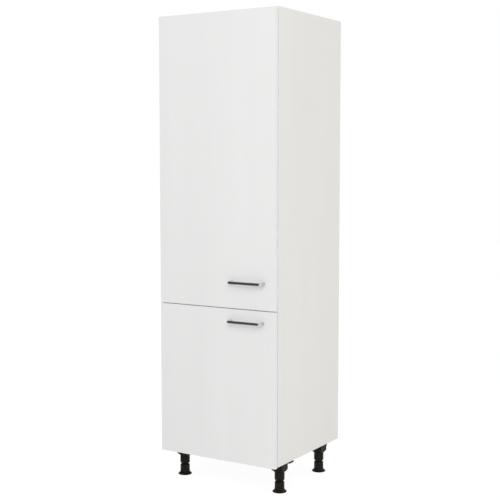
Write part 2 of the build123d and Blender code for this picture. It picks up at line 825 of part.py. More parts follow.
def arm_profile(shrink, base, back):
    """Side shape of a hinge arm, drawn in from its outer edges by shrink, between base and back."""
    with Locations(at_hinge(outer_link_root)):
        Circle(arm_nose_radius - shrink)
    with Locations(at_hinge(inner_link_root)):
        Circle(arm_hump_radius - shrink)
    top = arm_top - shrink
    with Locations(at_hinge((base, arm_hump_back))):
        Rectangle(top - base, arm_slope_end - arm_hump_back, align=(Align.MIN, Align.MIN))
    make_hull()
    with Locations(at_hinge((base, arm_hump_back))):
        Rectangle(top - base, back - arm_hump_back, align=(Align.MIN, Align.MIN))


# Hinge arms: channels of bent sheet, open towards the side panel and at the nose
web_x = cup_x + arm_top
with BuildPart() as hinge_arms:
    for level in all_hinge_levels:
        with BuildSketch(Plane.XY.offset(level - arm_outside)) as arm_outline:
            arm_profile(0, plate_base, arm_back)
        extrude(amount=2 * arm_outside)
        with BuildSketch(Plane.XY.offset(level - arm_inside)) as arm_inner_shape:
            arm_profile(sheet_thickness, plate_base - arm_top, arm_back + sheet_thickness)
        extrude(amount=2 * arm_inside, mode=Mode.SUBTRACT)
        block(
            (*at_hinge((plate_base, outer_link_bend[1])), level - arm_inside),
            (*at_hinge((inner_link_root[0] + arm_top, arm_web_front)), level + arm_inside),
            Mode.SUBTRACT,
        )
        roots = [at_hinge(outer_link_root), at_hinge(inner_link_root)]
        round_z(level - arm_outside, 2 * arm_outside, link_pin_radius + slip_fit, roots, Mode.SUBTRACT)
    round_x(web_x, -sheet_thickness, arm_screw_radius + slip_fit, arm_screw_places, Mode.SUBTRACT)
write(hinge_arms, "hinge_arms")

# Pins of the hinge arms, on which the roots of both links turn
with BuildPart() as arm_pins:
    for level in all_hinge_levels:
        round_z(level - arm_outside, 2 * arm_outside, link_pin_radius, [at_hinge(outer_link_root)])
        long_reach = inner_link_high + arm_pin_overhang
        round_z(level - long_reach, 2 * long_reach, link_pin_radius, [at_hinge(inner_link_root)])
write(arm_pins, "hinge_arm_pins")

# Mounting plates: a flat base with two wings and a ridge that fills the back of the arm
ridge_reach = web_x - sheet_thickness
with BuildPart() as mounting_plates:
    for level in all_hinge_levels:
        block(
            (-inner_half, door_back_y + plate_front, level - plate_half_height),
            (plate_face_x, door_back_y + plate_back, level + plate_half_height),
        )
        with BuildSketch(Plane.YZ.offset(-inner_half)) as wing_outline:
            with Locations((door_back_y + plate_hole_back, level)):
                SlotCenterToCenter(plate_hole_spacing, plate_wing_width, rotation=90)
        extrude(amount=plate_thickness)
        block(
            (plate_face_x, door_back_y + plate_ridge_front, level - outer_link_half_height),
            (ridge_reach, door_back_y + plate_back, level + outer_link_half_height),
        )
    plate_bore = plate_screw_radius + slip_fit
    round_x(-inner_half, plate_thickness, plate_bore, plate_screw_places, Mode.SUBTRACT)
    arm_screw_bite = arm_screw_length - sheet_thickness
    round_x(ridge_reach, -arm_screw_bite, arm_screw_radius + slip_fit, arm_screw_places, Mode.SUBTRACT)
write(mounting_plates, "hinge_mounting_plates")

with BuildPart() as plate_screws:
    head_x = plate_face_x + plate_screw_head_height
    round_x(plate_face_x, -plate_screw_length, plate_screw_radius, plate_screw_places)
    round_x(plate_face_x, plate_screw_head_height, plate_screw_head_radius, plate_screw_places)
    crossed_slots(0, [(head_x, y, z) for y, z in plate_screw_places])
write(plate_screws, "hinge_plate_screws")

with BuildPart() as arm_screws:
    head_x = web_x + arm_screw_head_height
    round_x(web_x, -arm_screw_length, arm_screw_radius, arm_screw_places)
    round_x(web_x, arm_screw_head_height, arm_screw_head_radius, arm_screw_places)
    crossed_slots(0, [(head_x, y, z) for y, z in arm_screw_places])
write(arm_screws, "hinge_arm_screws")
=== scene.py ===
"""Finishes for a tall fridge housing cabinet, its fine shapes, and the studio that it stands in."""

import math

import bpy
import numpy as np
from bpy.props import FloatProperty, FloatVectorProperty, IntProperty, PointerProperty
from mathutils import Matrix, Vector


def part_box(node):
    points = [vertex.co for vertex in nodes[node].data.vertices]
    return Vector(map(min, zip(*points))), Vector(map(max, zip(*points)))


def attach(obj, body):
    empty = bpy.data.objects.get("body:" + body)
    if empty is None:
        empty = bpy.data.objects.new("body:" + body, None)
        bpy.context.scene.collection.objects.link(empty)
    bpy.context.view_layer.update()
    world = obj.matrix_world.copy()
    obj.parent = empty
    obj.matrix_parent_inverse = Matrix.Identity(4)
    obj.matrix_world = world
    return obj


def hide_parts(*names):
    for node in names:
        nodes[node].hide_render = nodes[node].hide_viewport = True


bl_info = {
    "name": "Fridge Housing Finishes",
    "version": (1, 0, 0),
    "blender": (4, 5, 0),
    "location": "View3D > Sidebar > Housing",
    "description": "Dresses a tall fridge housing cabinet and sets up its studio",
    "category": "Object",
}

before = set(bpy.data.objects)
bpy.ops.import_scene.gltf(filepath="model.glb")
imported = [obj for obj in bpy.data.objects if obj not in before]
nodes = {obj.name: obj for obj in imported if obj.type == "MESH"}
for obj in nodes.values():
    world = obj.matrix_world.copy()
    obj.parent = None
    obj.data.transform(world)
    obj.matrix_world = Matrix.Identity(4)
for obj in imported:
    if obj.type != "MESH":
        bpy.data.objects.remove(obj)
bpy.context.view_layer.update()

DOORS = ("upper", "lower")
CORNERS = ("front_left", "front_right", "back_left", "back_right")
WHITE = (1, 1, 1, 1)

# A board's cut sides lie this far out in its finish, so that only its two faces count as white skin
FAR = 10.0
# Radius of the first and last ring of a turned shape, which closes it at its axis
POLE = 1e-6

# Place, target and size of both lights
KEY_LIGHT = ((2.2, -4.0, 3.2), (0, 0, 1.2), 2.6)
SIDE_LIGHT = ((5.2, -0.6, 1.3), (0, 0, 0.9), 2.4)

FLOOR_REACH = 14.0
# The floor's own glow towards the camera, and its share against the lit floor, which keeps the shadow
FLOOR_GLOW = 1.12
GLOW_SHARE = 0.8

# Places around the dark room, the places over which its sides fade out, and the width of its faded edges
ROOM_PLACES = 41
ROOM_FADE_PLACES = 5
ROOM_FADE_WIDTH = 0.5

# Rim of a foot's base, from the hollow sole out and up: way in from the base's radius, and height
FOOT_RIM = (
    (0.006, 0.0016),
    (0.005, 0.0),
    (0.0015, 0.0),
    (0.0004, 0.0004),
    (0.0, 0.0015),
    (0.0, 0.0035),
    (0.0006, 0.0043),
)
# Where the flare begins: way in from the base's radius, and height
FLARE_START = (0.0006, 0.0045)


# Meshes


def grid_mesh(name, points, material, body):
    """A mesh from a grid of points, closed around its second direction.

    points[i, j] is the place on ring i at step j. Ring i joins ring i + 1 by quads, step j joins step j + 1,
    and the last step joins the first. Both end rings are filled.
    """
    rings, steps = points.shape[:2]
    index = np.arange(rings * steps).reshape(rings, steps)
    near, far = index[:-1], index[1:]
    quads = np.stack([near, np.roll(near, -1, 1), np.roll(far, -1, 1), far], -1).reshape(-1, 4)
    faces = quads.tolist() + [index[0, ::-1].tolist(), index[-1].tolist()]
    mesh = bpy.data.meshes.new(name)
    mesh.from_pydata(points.reshape(-1, 3).tolist(), [], faces)
    mesh.shade_smooth()
    mesh.materials.append(material)
    piece = bpy.data.objects.new(name, mesh)
    bpy.context.scene.collection.objects.link(piece)
    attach(piece, body)
    return piece


def bent_bar(centre, inward, radius, steps):
    """Points of a round bar along a line that lies in a level plane.

    The line's points are centre[i], inward[i] is the unit normal in the plane there, and radius[i] the bar's
    radius: point = centre + radius * (cos(t) * inward + sin(t) * up), with t from 0 to a full turn.
    """
    turn = np.linspace(0, 2 * math.pi, steps, endpoint=False)
    up = np.array([0.0, 0.0, 1.0])
    ring = np.cos(turn)[None, :, None] * inward[:, None, :] + np.sin(turn)[None, :, None] * up
    return centre[:, None, :] + radius[:, None, None] * ring


# Shader graphs


def place(tree, kind, inputs=None, **properties):
    """Adds a shader node, sets its properties, and sets or links its inputs."""
    made = tree.nodes.new(kind)
    for name, value in properties.items():
        setattr(made, name, value)
    for name, value in (inputs or {}).items():
        if isinstance(value, bpy.types.NodeSocket):
            tree.links.new(value, made.inputs[name])
        else:
            made.inputs[name].default_value = value
    return made


def mixed(tree, factor, first, second, blend_type="MIX"):
    """The colour between two colours."""
    inputs = {0: factor, 6: first, 7: second}
    return place(tree, "ShaderNodeMix", inputs, data_type="RGBA", blend_type=blend_type).outputs[2]


def number(tree, operation, *values):
    """The result of a sum on numbers."""
    return place(tree, "ShaderNodeMath", dict(enumerate(values)), operation=operation).outputs[0]


def vector(tree, operation, *values):
    """The result of a sum on vectors."""
    return place(tree, "ShaderNodeVectorMath", dict(enumerate(values)), operation=operation).outputs[0]


def start_group(name, inputs, outputs):
    """A new shader group with named sockets, and its inner ends."""
    group = bpy.data.node_groups.new(name, "ShaderNodeTree")
    for label, kind, value in inputs:
        socket = group.interface.new_socket(label, in_out="INPUT", socket_type="NodeSocket" + kind)
        if value is not None:
            socket.default_value = value
    for label, kind in outputs:
        group.interface.new_socket(label, in_out="OUTPUT", socket_type="NodeSocket" + kind)
    return group, group.nodes.new("NodeGroupInput").outputs, group.nodes.new("NodeGroupOutput").inputs


def soft_streaks():
    """Colour with broad, very faint streaks along one direction."""
    group, given, result = start_group(
        "Soft streaks",
        [
            ("Vector", "Vector", None),
            ("Stretch", "Vector", (1, 1, 1)),
            ("Color", "Color", None),
            ("Depth", "Float", 0.01),
        ],
        [("Color", "Color")],
    )
    spot = vector(group, "MULTIPLY", given["Vector"], given["Stretch"])
    cloudy = {"Vector": spot, "Scale": 1.0, "Detail": 4.0, "Roughness": 0.6}
    noise = place(group, "ShaderNodeTexNoise", cloudy)
    low = number(group, "SUBTRACT", 1.0, given["Depth"])
    high = number(group, "ADD", 1.0, given["Depth"])
    shade = place(group, "ShaderNodeMapRange", {0: noise.outputs[0], 1: 0.3, 2: 0.7, 3: low, 4: high})
    group.links.new(mixed(group, 1.0, given["Color"], shade.outputs[0], "MULTIPLY"), result["Color"])
    return group


def board_skin():
    """1 on the flat faces of a board between two corners, 0 inside its bores."""
    group, given, result = start_group(
        "Board skin",
        [
            ("Vector", "Vector", None),
            ("Low", "Vector", None),
            ("High", "Vector", None),
            ("Skin", "Float", 0.0004),
        ],
        [("Mask", "Float")],
    )
    from_low = vector(group, "ABSOLUTE", vector(group, "SUBTRACT", given["Vector"], given["Low"]))
    from_high = vector(group, "ABSOLUTE", vector(group, "SUBTRACT", given["High"], given["Vector"]))
    parts = place(group, "ShaderNodeSeparateXYZ", {0: vector(group, "MINIMUM", from_low, from_high)}).outputs
    nearest = number(group, "MINIMUM", number(group, "MINIMUM", parts[0], parts[1]), parts[2])
    group.links.new(number(group, "LESS_THAN", nearest, given["Skin"]), result["Mask"])
    return group


def band_joint():
    """1 on the hairline where an edge band meets the face of a door."""
    group, given, result = start_group(
        "Band joint",
        [
            ("Vector", "Vector", None),
            ("Low", "Vector", None),
            ("High", "Vector", None),
            ("Inset", "Float", 0.001),
            ("Width", "Float", 0.0001),
        ],
        [("Mask", "Float")],
    )
    from_low = vector(group, "SUBTRACT", given["Vector"], given["Low"])
    from_high = vector(group, "SUBTRACT", given["High"], given["Vector"])
    parts = place(group, "ShaderNodeSeparateXYZ", {0: vector(group, "MINIMUM", from_low, from_high)}).outputs
    nearest = number(group, "MINIMUM", parts[0], parts[2])
    away = number(group, "ABSOLUTE", number(group, "SUBTRACT", nearest, given["Inset"]))
    group.links.new(number(group, "LESS_THAN", away, given["Width"]), result["Mask"])
    return group


def chipboard():
    """Colour and height of pressed wood chips."""
    group, given, result = start_group(
        "Chipboard", [("Vector", "Vector", None)], [("Color", "Color"), ("Height", "Float")]
    )
    chips = place(group, "ShaderNodeTexVoronoi", {"Vector": given["Vector"], "Scale": 420.0})
    noise = place(group, "ShaderNodeTexNoise", {"Vector": given["Vector"], "Scale": 900.0, "Detail": 5.0})
    tone = number(group, "MULTIPLY", chips.outputs["Color"], noise.outputs[0])
    ramp = place(group, "ShaderNodeMapRange", {0: tone, 1: 0.1, 2: 0.5, 3: 0.0, 4: 1.0})
    dark, pale = (0.30, 0.19, 0.10, 1), (0.66, 0.50, 0.33, 1)
    group.links.new(mixed(group, ramp.outputs[0], dark, pale), result["Color"])
    group.links.new(tone, result["Height"])
    return group


def fine_grain():
    """Height of a fine, even surface texture."""
    group, given, result = start_group(
        "Fine grain", [("Vector", "Vector", None), ("Scale", "Float", 800.0)], [("Height", "Float")]
    )
    cloudy = {"Vector": given["Vector"], "Scale": given["Scale"], "Detail": 3.0}
    noise = place(group, "ShaderNodeTexNoise", cloudy)
    group.links.new(noise.outputs[0], result["Height"])
    return group


def patchy_shine():
    """Roughness that drifts between two values."""
    group, given, result = start_group(
        "Patchy shine",
        [
            ("Vector", "Vector", None),
            ("Scale", "Float", 60.0),
            ("Smoothest", "Float", 0.2),
            ("Roughest", "Float", 0.3),
        ],
        [("Roughness", "Float")],
    )
    cloudy = {"Vector": given["Vector"], "Scale": given["Scale"], "Detail": 4.0}
    noise = place(group, "ShaderNodeTexNoise", cloudy)
    drift = {0: noise.outputs[0], 1: 0.35, 2: 0.65, 3: given["Smoothest"], 4: given["Roughest"]}
    group.links.new(place(group, "ShaderNodeMapRange", drift).outputs[0], result["Roughness"])
    return group


def thread_rings():
    """Height of a thread's rings along a direction."""
    group, given, result = start_group(
        "Thread rings",
        [("Vector", "Vector", None), ("Direction", "Vector", (0, 0, 1)), ("Pitch", "Float", 0.002)],
        [("Height", "Float")],
    )
    along = place(
        group, "ShaderNodeVectorMath", {0: given["Vector"], 1: given["Direction"]}, operation="DOT_PRODUCT"
    ).outputs["Value"]
    phase = number(group, "MULTIPLY", number(group, "DIVIDE", along, given["Pitch"]), 2 * math.pi)
    group.links.new(number(group, "SINE", phase), result["Height"])
    return group


def background_ray(tree):
    """1 for a ray that shows the background: from the camera, through glass or off a shiny surface."""
    path = place(tree, "ShaderNodeLightPath").outputs
    seen = number(tree, "MAXIMUM", path["Is Camera Ray"], path["Is Transmission Ray"])
    return number(tree, "MAXIMUM", seen, path["Is Glossy Ray"])


def start_material(name):
    """A new material with its shader, and the place on the object that its patterns are read from."""
    material = bpy.data.materials.new(name)
    material.use_nodes = True
    tree = material.node_tree
    shader = tree.nodes["Principled BSDF"]
    return material, tree, shader, place(tree, "ShaderNodeTexCoord").outputs["Object"]


def use(tree, name, **inputs):
    """The outputs of a shared effect, placed in a material with its own values."""
    return place(tree, "ShaderNodeGroup", inputs, node_tree=bpy.data.node_groups[name]).outputs


def bump(tree, shader, height, depth, strength=1.0):
    """Raises the surface by a height pattern; depth is in metres."""
    lifted = place(tree, "ShaderNodeBump", {"Height": height, "Distance": depth, "Strength": strength})
    tree.links.new(lifted.outputs[0], shader.inputs["Normal"])


def drawn(tree, shader, name, socket):
    """Links a pattern to one of the shader's inputs."""
    tree.links.new(socket, shader.inputs[name])


def stage_material(name):
    """A new material without any node, for a piece of the stage."""
    material = bpy.data.materials.new(name)
    material.use_nodes = True
    material.node_tree.nodes.clear()
    return material, material.node_tree


def dress(name, material):
    """Gives a CAD node its material."""
    for material_slot in nodes[name].material_slots:
        material_slot.material = material


def board_material(name, color, low, high, stretch, streak_depth, joint=None):
    """White faced board: satin faces with faint streaks, and chips where it is cut or bored."""
    material, tree, shader, spot = start_material(name)
    face = use(tree, "Soft streaks", Vector=spot, Stretch=stretch, Color=(*color, 1), Depth=streak_depth)
    core = use(tree, "Chipboard", Vector=spot)
    skin = use(tree, "Board skin", Vector=spot, Low=low, High=high, Skin=0.0010)
    shown = face["Color"]
    if joint:
        line = use(tree, "Band joint", Vector=spot, Low=low, High=high, Inset=joint, Width=0.00008)
        shown = mixed(tree, line["Mask"], shown, (0.42, 0.41, 0.39, 1))
    drawn(tree, shader, "Base Color", mixed(tree, skin["Mask"], core["Color"], shown))
    grain = use(tree, "Fine grain", Vector=spot, Scale=1100.0)
    shine = use(tree, "Patchy shine", Vector=spot, Scale=9.0, Smoothest=0.34, Roughest=0.42)
    drawn(tree, shader, "Roughness", shine["Roughness"])
    bump(tree, shader, grain["Height"], 0.00002)
    return material


def plastic_material(name, color, smoothest, roughest, grain_scale, depth, shine_level=0.5, drift=0.06):
    """Moulded plastic with a fine grain and a shine that drifts a little."""
    material, tree, shader, spot = start_material(name)
    tinted = use(tree, "Soft streaks", Vector=spot, Stretch=(40, 40, 40), Color=(*color, 1), Depth=drift)
    drawn(tree, shader, "Base Color", tinted["Color"])
    shine = use(tree, "Patchy shine", Vector=spot, Scale=40.0, Smoothest=smoothest, Roughest=roughest)
    drawn(tree, shader, "Roughness", shine["Roughness"])
    shader.inputs["Specular IOR Level"].default_value = shine_level
    bump(tree, shader, use(tree, "Fine grain", Vector=spot, Scale=grain_scale)["Height"], depth)
    return material


def metal_material(name, color, smoothest, roughest, scale, thread=None):
    """Plated or cast metal; a thread is given as its direction and pitch."""
    material, tree, shader, spot = start_material(name)
    stretch = (scale, scale, scale)
    tinted = use(tree, "Soft streaks", Vector=spot, Stretch=stretch, Color=(*color, 1), Depth=0.03)
    drawn(tree, shader, "Base Color", tinted["Color"])
    shader.inputs["Metallic"].default_value = 1.0
    shine = use(tree, "Patchy shine", Vector=spot, Scale=scale, Smoothest=smoothest, Roughest=roughest)
    drawn(tree, shader, "Roughness", shine["Roughness"])
    if thread:
        direction, pitch = thread
        rings = use(tree, "Thread rings", Vector=spot, Direction=direction, Pitch=pitch)
        bump(tree, shader, rings["Height"], 0.0001)
    else:
        bump(tree, shader, use(tree, "Fine grain", Vector=spot, Scale=1500.0)["Height"], 0.000004)
    return material


# Settings


class StudioSettings(bpy.types.PropertyGroup):
    camera_place: FloatVectorProperty(
        name="Camera place", description="Where the camera stands", size=3, unit="LENGTH",
        default=(2.4875, -3.9969, 1.4322),
    )
    camera_heading: FloatProperty(
        name="Heading", description="Turn of the camera to the left", unit="ROTATION",
        default=math.radians(31.86),
    )
    camera_dip: FloatProperty(
        name="Dip", description="Tilt of the camera downwards", unit="ROTATION", default=math.radians(4.8)
    )
    lens: FloatProperty(name="Lens", description="Focal length in millimetres", default=74.88)
    world_light: FloatProperty(name="World light", description="Light from all round", default=0.72)
    key_power: FloatProperty(name="Key power", description="Large light in front", unit="POWER", default=63.0)
    side_power: FloatProperty(
        name="Side power", description="Light from the right", unit="POWER", default=7.0
    )
    dark_from: FloatProperty(
        name="Dark from", description="Start of the dark room, clockwise from the back, in degrees",
        default=-75.0,
    )
    dark_to: FloatProperty(
        name="Dark to", description="End of the dark room, clockwise from the back, in degrees",
        default=-195.0,
    )
    dark_start: FloatProperty(
        name="Dark start", description="Where the dark floor begins", unit="LENGTH", default=0.4
    )
    dark_distance: FloatProperty(
        name="Dark distance", description="How far away the dark wall is", unit="LENGTH", default=3.5
    )
    dark_height: FloatProperty(
        name="Dark height", description="Height of the dark ceiling", unit="LENGTH", default=5.0
    )
    dark_lift: FloatProperty(
        name="Dark lift", description="Height of the dark floor over the pale one", unit="LENGTH",
        default=0.002,
    )
    dark_level: FloatProperty(name="Dark level", description="Brightness of the dark room", default=0.08)
    floor_color: FloatVectorProperty(
        name="Floor", description="Colour of the floor", subtype="COLOR", size=3, default=(0.9, 0.9, 0.9)
    )


class BoardSettings(bpy.types.PropertyGroup):
    door_color: FloatVectorProperty(
        name="Doors", description="White of the doors", subtype="COLOR", size=3, default=(0.885, 0.885, 0.88)
    )
    side_color: FloatVectorProperty(
        name="Carcass", description="White of the carcass boards", subtype="COLOR", size=3,
        default=(0.868, 0.86, 0.821),
    )
    band_inset: FloatProperty(
        name="Edge band", description="Thickness of the door's edge band", unit="LENGTH",
        default=0.0009, precision=5,
    )
    streak_depth: FloatProperty(
        name="Streaks", description="Depth of the faint streaks", default=0.014, precision=4
    )


class HandleSettings(bpy.types.PropertyGroup):
    color: FloatVectorProperty(
        name="Chrome", description="Colour of the chrome", subtype="COLOR", size=3, default=(0.62, 0.62, 0.63)
    )
    bend_radius: FloatProperty(
        name="Bend radius", description="Radius of the bar's bends along its middle", unit="LENGTH",
        default=0.008,
    )
    hole_radius: FloatProperty(
        name="Hole radius", description="Radius of the screw holes", unit="LENGTH",
        default=0.0021, precision=4,
    )
    hole_depth: FloatProperty(
        name="Hole depth", description="Depth of the screw holes", unit="LENGTH", default=0.012
    )


class FittingSettings(bpy.types.PropertyGroup):
    foot_grips: IntProperty(name="Grips", description="Upright grips around a foot's barrel", default=24)
    grip_depth: FloatProperty(
        name="Grip depth", description="Depth of the grips", unit="LENGTH", default=0.0007, precision=4
    )
    barrel_radius: FloatProperty(
        name="Barrel radius", description="Radius of a foot's barrel", unit="LENGTH",
        default=0.0215, precision=4,
    )
    barrel_low: FloatProperty(
        name="Barrel start", description="Height where the barrel begins", unit="LENGTH", default=0.02
    )
    barrel_high: FloatProperty(
        name="Barrel end", description="Height where the barrel ends", unit="LENGTH", default=0.044
    )
    shoulder: FloatProperty(
        name="Shoulder", description="Height of the step to the stem", unit="LENGTH", default=0.047
    )
    stem_radius: FloatProperty(
        name="Stem radius", description="Outer radius of the threaded stem", unit="LENGTH", default=0.015
    )
    thread_pitch: FloatProperty(
        name="Thread pitch", description="Distance between two turns of the thread", unit="LENGTH",
        default=0.004,
    )
    thread_depth: FloatProperty(
        name="Thread depth", description="Depth of the thread", unit="LENGTH", default=0.0014, precision=4
    )
    foot_color: FloatVectorProperty(
        name="Feet", description="Black of the feet", subtype="COLOR", size=3, default=(0.010, 0.0075, 0.004)
    )
    nickel_color: FloatVectorProperty(
        name="Nickel", description="Nickel plate of the hinges", subtype="COLOR", size=3,
        default=(0.66, 0.63, 0.58),
    )
    zinc_color: FloatVectorProperty(
        name="Zinc", description="Zinc plate of screws and brackets", subtype="COLOR", size=3,
        default=(0.68, 0.70, 0.72),
    )


class HousingSettings(bpy.types.PropertyGroup):
    studio: PointerProperty(type=StudioSettings)
    boards: PointerProperty(type=BoardSettings)
    handles: PointerProperty(type=HandleSettings)
    fittings: PointerProperty(type=FittingSettings)


# Operators


class HOUSING_OT_effects(bpy.types.Operator):
    """Build the shared shader effects"""

    bl_idname = "housing.effects"
    bl_label = "Shared Effects"

    def execute(self, context):
        effects = (soft_streaks, board_skin, band_joint, chipboard, fine_grain, patchy_shine, thread_rings)
        for build in effects:
            build()
        return {"FINISHED"}


class HOUSING_OT_stage(bpy.types.Operator):
    """Set up the camera, the floor and the lights"""

    bl_idname = "housing.stage"
    bl_label = "Stage"

    def execute(self, context):
        scene = context.scene
        settings = scene.fridge_housing.studio
        scene.view_settings.view_transform = "Standard"
        self.add_camera(scene, settings)
        self.add_world(scene, settings)
        self.add_floor(scene, settings)
        self.add_light(scene, "Key light", *KEY_LIGHT, settings.key_power)
        self.add_light(scene, "Side light", *SIDE_LIGHT, settings.side_power)
        self.add_dark_room(scene, settings)
        return {"FINISHED"}

    def add_camera(self, scene, settings):
        data = bpy.data.cameras.new("Camera")
        data.lens = settings.lens
        data.sensor_width = 36.0
        camera = bpy.data.objects.new("Camera", data)
        camera.location = settings.camera_place
        camera.rotation_euler = (math.pi / 2 - settings.camera_dip, 0, settings.camera_heading)
        scene.collection.objects.link(camera)
        scene.camera = camera

    def add_world(self, scene, settings):
        """White to the camera and in reflections, and a level light on everything else."""
        world = bpy.data.worlds.new("Studio")
        world.use_nodes = True
        scene.world = world
        tree = world.node_tree
        levels = {0: background_ray(tree), 3: settings.world_light, 4: 1.0}
        strength = place(tree, "ShaderNodeMapRange", levels).outputs[0]
        background = tree.nodes["Background"]
        background.inputs["Color"].default_value = WHITE
        tree.links.new(strength, background.inputs["Strength"])

    def add_floor(self, scene, settings):
        """A pale floor that shows nearly white to the camera and keeps the shadow."""
        reach = FLOOR_REACH
        corners = [(-reach, -reach, 0), (reach, -reach, 0), (reach, reach, 0), (-reach, reach, 0)]
        mesh = bpy.data.meshes.new("Floor")
        mesh.from_pydata(corners, [], [(0, 1, 2, 3)])
        material, tree = stage_material("Pale floor")
        surface = place(tree, "ShaderNodeBsdfDiffuse", {"Color": (*settings.floor_color, 1)}).outputs[0]
        glow = place(tree, "ShaderNodeEmission", {"Color": WHITE, "Strength": FLOOR_GLOW}).outputs[0]
        share = number(tree, "MULTIPLY", background_ray(tree), GLOW_SHARE)
        shown = place(tree, "ShaderNodeMixShader", {0: share, 1: surface, 2: glow}).outputs[0]
        place(tree, "ShaderNodeOutputMaterial", {"Surface": shown})
        mesh.materials.append(material)
        floor = bpy.data.objects.new("Floor", mesh)
        scene.collection.objects.link(floor)

    def add_light(self, scene, name, spot, target, size, power):
        data = bpy.data.lights.new(name, "AREA")
        data.shape = "SQUARE"
        data.size = size
        data.energy = power
        light = bpy.data.objects.new(name, data)
        light.location = spot
        away = np.array(spot) - np.array(target)
        flat = math.hypot(away[0], away[1])
        light.rotation_euler = (math.atan2(flat, away[2]), 0, math.atan2(away[1], away[0]) + math.pi / 2)
        light.visible_glossy = False
        scene.collection.objects.link(light)

    def add_dark_room(self, scene, settings):
        """A dark third of the room on the left and in front, seen only in reflections: it darkens the chrome.

        Its outline runs out along the floor, up a wall and back in under a ceiling, and turns around the
        middle: point = (r * sin(t), r * cos(t), z), with t from the back left round the left to the front.
        Its glow fades from dark inside to the white of the bright room at its edges.
        """
        count = ROOM_PLACES
        turn = np.radians(np.linspace(settings.dark_from, settings.dark_to, count))
        ring = np.stack([np.sin(turn), np.cos(turn)], 1)
        start, reach = settings.dark_start, settings.dark_distance
        lift, top = settings.dark_lift, settings.dark_height
        inner = start + ROOM_FADE_WIDTH
        # Radius, height and darkness of each row
        outline = (
            (start, lift, 0),
            (inner, lift, 1),
            (reach, lift, 1),
            (reach, top, 1),
            (inner, top, 1),
            (start, top, 0),
        )
        rows = [np.column_stack([ring * radius, np.full(count, level)]) for radius, level, _ in outline]
        from_side = np.minimum(np.arange(count), np.arange(count)[::-1]) / ROOM_FADE_PLACES
        darkness = np.outer([dark for _, _, dark in outline], np.minimum(from_side, 1))
        index = np.arange(len(rows) * count).reshape(len(rows), count)
        quads = np.stack([index[:-1, :-1], index[:-1, 1:], index[1:, 1:], index[1:, :-1]], -1).reshape(-1, 4)
        mesh = bpy.data.meshes.new("Dark room")
        mesh.from_pydata(np.concatenate(rows).tolist(), [], quads.tolist())
        spread = mesh.attributes.new("darkness", "FLOAT", "POINT")
        spread.data.foreach_set("value", darkness.ravel())
        # Painted reflection: an emitter seen only in reflections, dark inside and white at its faded edges,
        # which paints a dark band into the chrome
        material, tree = stage_material("Reflection-only dark glow")
        shade = place(tree, "ShaderNodeAttribute", attribute_name="darkness").outputs["Fac"]
        levels = {0: shade, 3: 1.0, 4: settings.dark_level}
        strength = place(tree, "ShaderNodeMapRange", levels).outputs[0]
        glow = place(tree, "ShaderNodeEmission", {"Color": WHITE, "Strength": strength}).outputs[0]
        place(tree, "ShaderNodeOutputMaterial", {"Surface": glow})
        mesh.materials.append(material)
        room = bpy.data.objects.new("Dark room", mesh)
        room.visible_camera = False
        room.visible_diffuse = False
        room.visible_shadow = False
        room.visible_transmission = False
        scene.collection.objects.link(room)


class HOUSING_OT_boards(bpy.types.Operator):
    """Finish the carcass boards, the edge bands and the back board"""

    bl_idname = "housing.boards"
    bl_label = "Carcass Boards"

    def execute(self, context):
        settings = context.scene.fridge_housing.boards
        upright = ("side_panel_left", "side_panel_right")
        level = ("bottom_panel", "fixed_shelf", "top_panel", "adjustable_shelf")
        rails = ("middle_rail", "top_rail")
        for names, axis in ((upright, 0), (level, 2), (rails, 1)):
            for name in names:
                low, high = (list(corner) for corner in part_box(name))
                for other in range(3):
                    if other != axis:
                        low[other], high[other] = -FAR, FAR
                stretch = (9, 9, 0.7) if axis == 0 else (0.7, 9, 9)
                color = settings.side_color
                dress(name, board_material(name, color, low, high, stretch, settings.streak_depth))
        band = plastic_material("Edge band", settings.door_color, 0.36, 0.44, 1200.0, 0.00001, drift=0.006)
        dress("edge_bands", band)
        dress("back_board", self.hardboard(settings))
        return {"FINISHED"}

    def hardboard(self, settings):
        """Thin board with a white front face and brown fibres behind."""
        material, tree, shader, spot = start_material("Hardboard")
        low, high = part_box("back_board")
        parts = place(tree, "ShaderNodeSeparateXYZ", {0: spot}).outputs
        front = number(tree, "LESS_THAN", parts[1], low[1] + (high[1] - low[1]) / 4)
        brown, white = (0.33, 0.21, 0.12, 1), (*settings.side_color, 1)
        fibre = use(tree, "Soft streaks", Vector=spot, Stretch=(300, 300, 300), Color=brown, Depth=0.25)
        face = use(tree, "Soft streaks", Vector=spot, Stretch=(9, 9, 0.7), Color=white, Depth=0.006)
        drawn(tree, shader, "Base Color", mixed(tree, front, fibre["Color"], face["Color"]))
        shine = use(tree, "Patchy shine", Vector=spot, Scale=30.0, Smoothest=0.45, Roughest=0.6)
        drawn(tree, shader, "Roughness", shine["Roughness"])
        bump(tree, shader, use(tree, "Fine grain", Vector=spot, Scale=500.0)["Height"], 0.00005)
        return material


class HOUSING_OT_doors(bpy.types.Operator):
    """Finish both doors and their soft buffers"""

    bl_idname = "housing.doors"
    bl_label = "Doors"

    def execute(self, context):
        settings = context.scene.fridge_housing.boards
        buffer = plastic_material("Soft buffer", (0.74, 0.74, 0.72), 0.18, 0.28, 300.0, 0.00001)
        for door in DOORS:
            low, high = (list(corner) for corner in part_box(f"{door}_door"))
            material = board_material(
                f"{door} door", settings.door_color, low, high, (7, 7, 0.55), settings.streak_depth,
                joint=settings.band_inset,
            )
            dress(f"{door}_door", material)
            dress(f"{door}_door_buffers", buffer)
        return {"FINISHED"}


